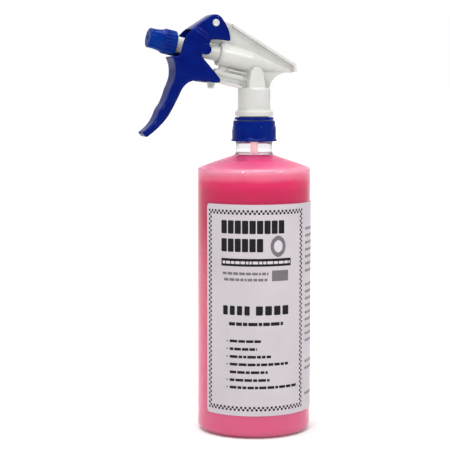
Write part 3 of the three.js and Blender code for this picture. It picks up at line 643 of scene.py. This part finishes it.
tube_low, tube_high = (corner.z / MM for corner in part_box("dip_tube"))
tube_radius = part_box("dip_tube")[1].x / MM
tube_bore = tube_radius - 0.9
tube_middle = 120
tube = blank("dip_tube_smooth", turned([
    (tube_bore, tube_low), (tube_radius, tube_low), (tube_radius, tube_middle),
    (tube_radius, tube_high), (tube_bore, tube_high), (tube_bore, tube_middle),
], 48))
fitted(tube, "head", "natural_plastic", tube_milky_glow, "dip_tube")

# ------------------------------------------------------------------ sprayer head
# The head is one white polypropylene moulding: the stem that plugs into the collar, the barrel
# of the pump running down to a thin tail, and the web, rim, rail and arm that stiffen it.
bore_way = Vector(next(j["axis"] for j in frame["joints"] if j["name"] == "plunger_stroke"))
pivot = Vector(next(j["pos_m"] for j in frame["joints"] if j["name"] == "trigger_pull")) / MM
pivot_along, pivot_up = 4.32, 20.33
bore_up = Vector((-bore_way.z, 0, bore_way.x))
trunnion = pivot - pivot_along * bore_way - pivot_up * bore_up
# Points in the pump's own frame run back along the bore from the trunnions.
bore_frame = Matrix.Translation(trunnion) @ Matrix((
    (bore_way.x, 0, bore_up.x, 0), (0, 1, 0, 0), (bore_way.z, 0, bore_up.z, 0), (0, 0, 0, 1),
))
lay_down = Matrix.Rotation(math.pi / 2, 4, "Y")
stem_foot = collar_high + 0.6
stem_top = stem_foot + 20.3
stem_radius = 11.65
barrel_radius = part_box("barrel_cap")[1].y / MM
barrel_front = 14.1
barrel_end = 37.0
bore_radius = 6.3
bore_end = 41.3
pin_radius = 2.5
pin_room = 0.1
spine_half = 1.5
rim_half = 4.5
dome_half = 9.8
trunnion_reach = 41.05


def plate(outline, half):
    """An outline of (x, z) as a plate that reaches half its width to each side."""
    count = len(outline)
    area = sum(a[0] * b[1] - b[0] * a[1] for a, b in zip(outline, outline[1:] + outline[:1]))
    ring = outline if area > 0 else outline[::-1]
    verts = [(x, -half, z) for x, z in ring] + [(x, half, z) for x, z in ring]
    faces = [list(range(count)), list(range(2 * count - 1, count - 1, -1))]
    for i in range(count):
        j = (i + 1) % count
        faces.append([j, i, count + i, count + j])
    return verts, faces


def rod(radius, half, x, z, facets=64):
    """A rod across the sprayer."""
    ring = [2 * math.pi * i / facets for i in range(facets)]
    return plate([(x + radius * math.cos(t), z + radius * math.sin(t)) for t in ring], half)


def block(x, y, z, long, wide, high):
    """A box by its middle and its sizes."""
    shape = plate([(x - long / 2, z - high / 2), (x + long / 2, z - high / 2),
                   (x + long / 2, z + high / 2), (x - long / 2, z + high / 2)], wide / 2)
    return [(a, b + y, c) for a, b, c in shape[0]], shape[1]


def on_bore(name, profile, facets=96):
    """A solid turned about the bore."""
    return blank(name, turned(profile, facets), bore_frame @ lay_down)


def axis_height(x):
    """The height of the bore's middle line."""
    return trunnion.z + (x - trunnion.x) * bore_way.z / bore_way.x


tail_x = 31.4
tail_top = axis_height(tail_x) + 5.2
tail_low = axis_height(tail_x) - 0.3
arm_x = -34.5


def arm_foot(x):
    """The height of the arm's lower edge."""
    return stem_top + (-x - stem_radius) * 0.22


def top_line(x):
    """The height of the spine's top edge, which falls from the pivot to the tail."""
    return tail_top + (tail_x - x) * (pivot.z + 7.5 - tail_top) / (tail_x - pivot.x)


def curve_points(a, b, c, steps):
    """A bend from a to c that leans to b."""
    found = []
    for i in range(steps + 1):
        t = i / steps
        found.append(tuple(
            (1 - t) ** 2 * a[k] + 2 * t * (1 - t) * b[k] + t * t * c[k] for k in (0, 1)))
    return found


stem = blank("stem", turned([
    (0, collar_high - 1.8), (10.5, collar_high - 1.8), (10.5, stem_foot),
    *arc(13.3, stem_foot + 0.4, 0.4, -90, 0, 3), *arc(12.9, stem_foot + 2.9, 0.8, 0, 60, 4),
    (stem_radius + 0.5, stem_foot + 4.2), (stem_radius + 0.1, stem_foot + 5.0),
    (stem_radius, stem_foot + 6), (stem_radius, stem_top - 1.3),
    *arc(stem_radius - 1.2, stem_top - 1.2, 1.2, 0, 90, 5), (0, stem_top),
], 128))
rim_start = pivot.x + 13.9
mouth_x = trunnion.x + barrel_front + 1.2
spine_outline = [
    (pivot.x - 2.4, pivot.z), (pivot.x, pivot.z + 4.2), (rim_start, top_line(rim_start)),
    (tail_x, tail_top),
    *curve_points((tail_x, tail_low), (stem_radius + 0.8, tail_low + 0.6),
                  (stem_radius - 0.4, stem_top - 2), 20),
    (0, stem_top - 4), (-stem_radius + 0.6, stem_top - 2),
    (-stem_radius - 1.2, arm_foot(-stem_radius - 1.2) - 0.2), (arm_x, arm_foot(arm_x)),
    (arm_x, arm_foot(arm_x) + 5), (arm_x + 5, axis_height(arm_x + 5) - 16),
    (mouth_x, axis_height(trunnion.x + barrel_front) - 4),
    (mouth_x, axis_height(trunnion.x + barrel_front)),
    (pivot.x - 2.4, axis_height(pivot.x) + barrel_radius - 0.4),
]
rim_outline = [
    (rim_start, top_line(rim_start) - 2.2), (tail_x - 2.4, tail_top - 1.4), (tail_x - 2.4, tail_low),
    (tail_x, tail_low), (tail_x, tail_top), (rim_start, top_line(rim_start)),
]
arm_inner = -stem_radius + 1
arm_outline = [
    (arm_inner, arm_foot(arm_inner)), (arm_x, arm_foot(arm_x)),
    (arm_x, arm_foot(arm_x) + 1.5), (arm_inner, arm_foot(arm_inner) + 1.5),
]
stop_outline = [
    (arm_x, arm_foot(arm_x) + 1), (arm_x + 0.4, arm_foot(arm_x) - 4.9),
    (arm_x + 1.8, arm_foot(arm_x) - 5.4), (arm_x + 4, arm_foot(arm_x) + 1),
]
dome_x, dome_foot, dome_radius = -1.2, 6.4, 4.9
dome_outline = [
    (dome_x - dome_foot, stem_top - 1.5),
    *arc(dome_x, stem_top + 14.6 - dome_radius, dome_radius, 174, 6, 24),
    (dome_x + dome_foot, stem_top - 1.5),
]
tail_station = (trunnion_reach + tail_x) / bore_way.x - 2.5
barrel = on_bore("barrel", [
    (0, barrel_front), (barrel_radius - 0.1, barrel_front), (barrel_radius, barrel_front + 0.3),
    (barrel_radius, barrel_end - 1), (barrel_radius - 0.25, barrel_end + 0.6), (1.2, tail_station),
    (0, tail_station),
], 128)
rail = on_bore("rail", [(0, -12.25), (2.8, -12.25), (2.8, 12.25), (0, 12.25)], 48)
rail.data.transform(Matrix.Translation((24.4 * bore_way - 13.3 * bore_up) * MM))
ledge = blank("ledge", block(27.3, 0, -9.7, 13.5, 9.2, 1.0), bore_frame)
head = joined(
    "sprayer_head", stem,
    added=[
        barrel, blank("spine", plate(spine_outline, spine_half)), blank("rim", plate(rim_outline, rim_half)),
        blank("arm", plate(arm_outline, 5.0)), blank("stop", plate(stop_outline, rim_half)), rail, ledge,
        blank("pivot_boss", rod(4.4, 6.0, pivot.x, pivot.z)),
        blank("dome", plate(dome_outline, dome_half)),
    ],
    cut=[
        on_bore("bore", [(0, 13), (bore_radius, 13), (bore_radius, bore_end), (0, bore_end)]),
        on_bore("rebate", [(0, 13), (6.9, 13), (6.9, 16.3), (0, 16.3)]),
        on_bore("plunger_way", [
            (0, -10), (6.0, -10), (6.0, 12.5), (barrel_radius + 0.3, 12.5),
            (barrel_radius + 0.3, barrel_front), (0, barrel_front)]),
        blank("valve_room", turned([
            (0, collar_high - 3), (9.2, collar_high - 3), (9.2, stem_foot + 18.6),
            (2, stem_foot + 20.6), (0, stem_foot + 20.6)], 64)),
        blank("pin_hole", rod(pin_radius + pin_room, 10, pivot.x, pivot.z)),
    ],
    voxel=0.3, passes=3,
)
fitted(head, "head", "white_plastic", head_white, "head_body", crease=180)

# ------------------------------------------------------------------ pivot pin and barrel cap
# The lever hangs on a white pin across the head, with a slight dish in each end. A guide ring
# closes the mouth of the barrel round the plunger and has one small notch.
pin_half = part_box("pivot_pin")[1].y / MM
pin = blank("pivot_pin_round", turned([
    (0, -pin_half + 0.25), (1.5, -pin_half + 0.2), (2.1, -pin_half), (pin_radius, -pin_half + 0.35),
    (pin_radius, pin_half - 0.35), (2.1, pin_half), (1.5, pin_half - 0.2), (0, pin_half - 0.25),
], 64), Matrix.Translation(pivot) @ Matrix.Rotation(math.pi / 2, 4, "X"))
fitted(pin, "head", "white_plastic", head_white, "pivot_pin")

guide = joined("barrel_guide", on_bore("guide_turned", [
    (5.6, 12.9), (7.6, 12.9), (barrel_radius - 0.2, 13.0), (barrel_radius, 13.25),
    (barrel_radius, 14.0), (6.8, 14.05), (6.8, 16.2), (5.6, 16.2),
], 128), cut=[blank("notch", block(12.9, 0, 8.0, 1.2, 2.4, 1.4), bore_frame)])
fitted(guide, "head", "white_plastic", head_white, "barrel_cap")

# ------------------------------------------------------------------ plunger
# The plunger is a white tube with a trunnion on each side for the lever's slots. Its tail
# carries a soft piston cup, and a steel coil spring in the barrel pushes it forward.
nozzle_back = -20.7
nozzle_length = 19.8
nozzle_lead = 2.0
plunger_radius = 5.5
trunnion_radius = 1.8
tip = nozzle_back - nozzle_length + 2.4
valve_seat = nozzle_back - 3.4
plunger_tube = on_bore("plunger_tube", [
    (2.5, tip), (4.0, tip), (4.1, tip + 0.2), (4.1, tip + 5), (4.7, tip + 5.4),
    (4.7, nozzle_back + 0.4), (plunger_radius, nozzle_back + 1.2), (plunger_radius, 17.8),
    (5.8, 17.8), (5.8, 19),
    (4.2, 19), (4.2, 25), (4.6, 25.4), (4.2, 26), (2, 26), (2, valve_seat + 2.9),
    (1.4, valve_seat + 2.3), (1.4, valve_seat + 0.9), (2.5, valve_seat),
])
nozzle_thread = blank("plunger_thread", ridge(
    (4.4, 0.5), (5.15, 0.2), nozzle_back - 7.6, nozzle_lead, 0, 2.5, 32), bore_frame @ lay_down)
trunnions = blank("trunnions", rod(trunnion_radius, 10.1, 0, 0), bore_frame)
plunger = joined(
    "plunger_white", plunger_tube,
    added=[nozzle_thread, joined("trunnion_ends", trunnions, cut=[
        on_bore("tube_way", [(0, -8), (4.5, -8), (4.5, 8), (0, 8)], 48)])],
)
fitted(plunger, "plunger", "white_plastic", head_white, "plunger")
redone("piston_cup", natural_soft)
redone("spinner", natural_soft)
redone("discharge_ball", steel_bright)
redone("nozzle_seal", washer_soft)


def coil(name, radius, wire, start, end, coils):
    """A coil spring about the bore, closed by flat ends."""
    steps, sides = coils * 40, 10
    verts, faces = [], []
    for i in range(steps + 1):
        share = i / steps
        turn = 2 * math.pi * coils * share
        along = start + wire + (end - start - 2 * wire) * share
        for k in range(sides):
            bend = 2 * math.pi * k / sides
            out = radius + wire * math.cos(bend)
            verts.append((along + wire * math.sin(bend), out * math.cos(turn), out * math.sin(turn)))
    for i in range(steps):
        for k in range(sides):
            a, b = i * sides + k, i * sides + (k + 1) % sides
            faces.append([a, b, b + sides, a + sides])
    faces.append(list(range(sides))[::-1])
    faces.append([steps * sides + k for k in range(sides)])
    return blank(name, (verts, faces), bore_frame)


spring_end = 41.1
spring = fitted(
    coil("return_coil", 4.6, 0.45, 26.2, spring_end, 5), "head", "steel", steel_bright, "return_spring")
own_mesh(spring)
valve_end = tip + 3.7
small_spring = fitted(
    coil("discharge_coil", 1.5, 0.2, valve_end, valve_seat - 2.93, 4), "plunger", "steel",
    steel_bright, "discharge_spring")
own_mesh(small_spring)

# ------------------------------------------------------------------ nozzle
# The nozzle is a blue screw-on cap: a smooth, slightly waisted front with the outlet hole, and
# a wider skirt with deep flutes to turn it by.
nozzle_front = nozzle_back - nozzle_length
seal_at = tip + 2.4
front_radius = 7.0
skirt = 8.5
nozzle_shell = on_bore("nozzle_shell", [
    (0.5, nozzle_front + 1.1), (0.7, nozzle_front + 0.7), (1.7, nozzle_front + 0.25), (1.9, nozzle_front),
    (front_radius - 0.9, nozzle_front), (front_radius - 0.25, nozzle_front + 0.25),
    (front_radius, nozzle_front + 0.9), (front_radius - 0.05, nozzle_front + 3),
    (front_radius + 0.1, nozzle_front + 5.5), (skirt - 0.9, nozzle_front + 9.0),
    (skirt - 0.4, nozzle_front + 10.4), (skirt, nozzle_back - 1.2), (skirt, nozzle_back - 0.4),
    (skirt - 0.4, nozzle_back), (5.95, nozzle_back), (5.45, nozzle_back - 0.8),
    (5.45, seal_at + 2.4), (5.4, seal_at + 0.9), (5.4, seal_at - 0.7), (4.25, seal_at - 0.7),
    (4.25, tip - 0.3), (0.5, tip - 0.3),
], 120)
flutes = []
flute_count = 20
for i in range(flute_count):
    turn = Matrix.Rotation(2 * math.pi * i / flute_count, 4, "X")
    shape = turned([(0, 0), (0.3, 0.1), (0.75, 1.0), (0.78, 8.2), (0.6, 8.8), (0, 8.9)], 14)
    lay = Matrix.Translation((nozzle_back - 9.1, 0, skirt - 0.38)) @ lay_down
    flutes.append(blank("flute", shape, bore_frame @ turn @ lay))
inner_thread = blank("nozzle_thread", ridge(
    (5.75, 0.5), (4.85, 0.2), nozzle_back - 8.6, nozzle_lead, 0, 2, 32), bore_frame @ lay_down)
nozzle = joined("spray_nozzle", nozzle_shell, added=[*flutes, inner_thread], voxel=0.2, passes=2)
nozzle_blue = blue_plastic("nozzle_blue", (0.0, 0.009, 0.125), (0.0, 0.022, 0.185))
fitted(nozzle, "nozzle", "blue_plastic", nozzle_blue, "nozzle", crease=180)

# ------------------------------------------------------------------ trigger
# The lever is one blue moulding, a channel open at the back. Its ears hang on the pivot pin, its
# side plates step out round the plunger, and three swells on its front fit the fingers.
ear_half, plate_half, lever_wall = 7.7, 10.2, 1.5


def smooth_line(points, count):
    """A smooth line through the points, as count + 1 places and directions."""
    found = []
    last = len(points) - 1
    for i in range(count + 1):
        spot = last * i / count
        k = min(int(spot), last - 1)
        t = spot - k
        p0, p1 = points[max(k - 1, 0)], points[k]
        p2, p3 = points[k + 1], points[min(k + 2, last)]
        place, way = [], []
        for a in (0, 1):
            v0, v1 = (p2[a] - p0[a]) / 2, (p3[a] - p1[a]) / 2
            if k == 0:
                v0 = p2[a] - p1[a]
            if k == last - 1:
                v1 = p2[a] - p1[a]
            c3 = 2 * p1[a] - 2 * p2[a] + v0 + v1
            c2 = -3 * p1[a] + 3 * p2[a] - 2 * v0 - v1
            place.append(c3 * t**3 + c2 * t * t + v0 * t + p1[a])
            way.append(3 * c3 * t * t + 2 * c2 * t + v0)
        found.append((place, way))
    return found


def beside(line, offset):
    """The line moved square to itself, to its left."""
    moved = []
    for (x, z), (dx, dz) in line:
        size = math.hypot(dx, dz)
        moved.append((x - dz / size * offset, z + dx / size * offset))
    return moved


# Places on the lever are (x, z) from the pivot.
finger_side = smooth_line([
    (-33.2, -23.6), (-31.1, -28), (-30.3, -34), (-31.2, -40), (-34.2, -46.4), (-35.8, -51),
    (-38.4, -56.5), (-41.8, -61.2), (-43.4, -65.2), (-46.6, -70.2), (-50.6, -74.2), (-54.6, -76.9),
], 60)
lever_back = smooth_line([
    (-51.3, -80.9), (-47.2, -78.1), (-42.2, -73.7), (-37, -68.1), (-33.3, -62.4), (-30.3, -56.8),
    (-27.5, -51.2), (-25.2, -46.4), (-21.2, -42.4), (-16.4, -40.6),
], 44)
lever_outline = [
    *arc(0, 0, 6.3, 35, 122, 16), (-16.4, -3), (-20.4, -6.2), (-23.6, -9.6), (-25, -13), (-26, -17),
    (-28, -23.6), *beside(finger_side, 0), *beside(lever_back, 0), (-6, -41.8), (2.6, -42.8),
    (3.4, -39.8), (-11.4, -22.9), (-8, -20.4), (-5.4, -16.4), (-3.8, -12), (3.5, -12.2),
    (11.7, -13.4), (11.4, -9.3), (10.4, -5.2), (8.4, -1.2),
]
beside_ears = [(-16.4, -3), (-3.8, -12), (-3.8, -13.9), (30, -13.9), (30, 20), (-30, 20), (-30, 7)]
lower_room = [
    (-45, -4.6), (-17.2, -4.6), (-4.7, -13.6), (-3.8, -14), (30, -14), (30, -60), (-20, -60),
    (-42, -90), *beside(finger_side, lever_wall + 0.2)[4:58][::-1], (-28, -25.1), (-28, -23.6),
    (-45, -23.6),
]
upper_room = [
    (-15.6, -5), (-15.6, -4), *arc(0, 0, 4.6, 122, 60, 8), (26, 30), (30, 30), (30, -20),
    (-16.5, -20), (-16.5, -5),
]
at_pivot = Matrix.Translation(pivot)


def lever_solid(name, shape, narrowed=False):
    """A solid placed from the pivot, narrowed towards the lever's tip if asked."""
    verts, faces = shape
    if narrowed:
        narrower = []
        for x, y, z in verts:
            down = min(1.0, max(0.0, (-z - 40) / 40))
            narrower.append((x, y * (1 - 0.26 * down), z))
        verts = narrower
    return blank(name, (verts, faces), at_pivot)


ears_outside = joined(
    "beside_ears", lever_solid("beside_wide", plate(beside_ears, plate_half + 2)),
    cut=[lever_solid("beside_narrow", plate(beside_ears, ear_half))],
)
reach = Vector((trunnion.x - pivot.x, trunnion.z - pivot.z))
slot_middle = reach.normalized() * (pivot_up + 0.36)
boss_points, boss_faces = rod(3.7, 1.0, slot_middle.x, slot_middle.y)
bosses = [
    lever_solid("boss", ([(x, y + side * plate_half, z) for x, y, z in boss_points], boss_faces))
    for side in (-1, 1)
]
slot_radius = trunnion_radius + 0.25
slots = [
    lever_solid("slot", rod(slot_radius, 10.35, *(reach.normalized() * (slot_middle.length + shift))))
    for shift in (-0.45, 0.45)
]
lever_block = joined(
    "lever_block", lever_solid("lever_outline", plate(lever_outline, plate_half), narrowed=True),
    cut=[ears_outside], voxel=0.4, passes=160,
)
lever = joined(
    "trigger_lever", lever_block, added=bosses,
    cut=[
        lever_solid("lower_room", plate(lower_room, plate_half - lever_wall), narrowed=True),
        lever_solid("upper_room", plate(upper_room, ear_half - lever_wall)),
        lever_solid("pin_way", rod(pin_radius + pin_room, 12, 0, 0)),
        *slots,
    ],
    voxel=0.3, passes=2,
)
lever_blue = blue_plastic("lever_blue", (0.0, 0.004, 0.10), (0.0, 0.009, 0.135))
fitted(lever, "trigger", "blue_plastic", lever_blue, "trigger", crease=180)

# ------------------------------------------------------------------ studio
# A wide white floor, a pale surround that is brightest behind the object, and three soft
# lights: a broad one above and a smaller one high on each side of the front.
look_turn = math.radians(20)


def studio_white():
    """The floor's matt white."""
    finish, tree, shader = finish_nodes("studio_white")
    colour = blended(tree, speckle(tree, 300), (0.76, 0.76, 0.76), (0.78, 0.78, 0.78))
    tree.links.new(colour, shader.inputs["Base Color"])
    # The floor glows a little, more so far from the object and towards the bright wall.
    where = tree.nodes.new("ShaderNodeTexCoord")
    distance = tree.nodes.new("ShaderNodeVectorMath")
    distance.operation = "LENGTH"
    tree.links.new(where.outputs["Object"], distance.inputs[0])
    heading = tree.nodes.new("ShaderNodeVectorMath")
    heading.operation = "NORMALIZE"
    tree.links.new(where.outputs["Object"], heading.inputs[0])
    to_wall = tree.nodes.new("ShaderNodeVectorMath")
    to_wall.operation = "DOT_PRODUCT"
    to_wall.inputs[1].default_value = (math.sin(look_turn), math.cos(look_turn), 0)
    tree.links.new(heading.outputs["Vector"], to_wall.inputs[0])
    glow = tree.nodes.new("ShaderNodeMath")
    glow.operation = "MULTIPLY"
    far_glow = ranged(tree, distance.outputs["Value"], 0.08, 0.75, 0.3, 2.2)
    wall_glow = ranged(tree, to_wall.outputs["Value"], 0.35, 1.0, 0.6, 0.97)
    tree.links.new(far_glow, glow.inputs[0])
    tree.links.new(wall_glow, glow.inputs[1])
    tree.links.new(glow.outputs["Value"], shader.inputs["Emission Strength"])
    shader.inputs["Emission Color"].default_value = (1, 1, 1, 1)
    shader.inputs["Roughness"].default_value = 0.9
    shader.inputs["Specular IOR Level"].default_value = 0.1
    return finish


floor_radius, floor_sides = 9000, 60
floor_edge = [2 * math.pi * i / floor_sides for i in range(floor_sides)]
floor = blank("studio_floor", (
    [(floor_radius * math.cos(t), floor_radius * math.sin(t), 0) for t in floor_edge],
    [list(range(floor_sides))],
))
floor.data.materials.append(studio_white())

world = bpy.data.worlds.new("studio_surround")
world.use_nodes = True
surround = world.node_tree
where = surround.nodes.new("ShaderNodeTexCoord")
facing_wall = surround.nodes.new("ShaderNodeVectorMath")
facing_wall.operation = "DOT_PRODUCT"
facing_wall.inputs[1].default_value = (math.sin(look_turn), math.cos(look_turn), 0)
surround.links.new(where.outputs["Generated"], facing_wall.inputs[0])
bright = ranged(surround, facing_wall.outputs["Value"], 0.64, 1.0, 0.80, 0.97)
surround.links.new(bright, surround.nodes["Background"].inputs["Strength"])
surround.nodes["Background"].inputs["Color"].default_value = (1, 1, 1, 1)
scene.world = world


def soft_light(name, place, aim, size, power):
    """A square lamp that shines at a place."""
    lamp = bpy.data.lights.new(name, "AREA")
    lamp.shape, lamp.size, lamp.energy = "SQUARE", size, power
    made = bpy.data.objects.new(name, lamp)
    scene.collection.objects.link(made)
    made.location = place
    made.rotation_euler = (Vector(aim) - Vector(place)).to_track_quat("-Z", "Y").to_euler()


soft_light("top_light", (-0.1, 0.1, 1.6), (0, 0, 0), 1.2, 27)
soft_light("key_light", (-1.0, -1.1, 1.1), (0, 0, 0.15), 0.28, 9)
soft_light("fill_light", (0.8, -1.1, 1.1), (0, 0, 0.1), 0.3, 8)

camera = bpy.data.objects.new("camera", bpy.data.cameras.new("camera"))
scene.collection.objects.link(camera)
camera.location = (-0.3846, -0.9953, 0.2518)
look_down = math.radians(5.506)
look = Vector((
    math.sin(look_turn) * math.cos(look_down), math.cos(look_turn) * math.cos(look_down),
    -math.sin(look_down),
))
camera.rotation_euler = look.to_track_quat("-Z", "Y").to_euler()
camera.data.sensor_width = 36
camera.data.lens = 117.97
camera.data.clip_start = 0.01
scene.camera = camera
scene.view_settings.view_transform = "Standard"
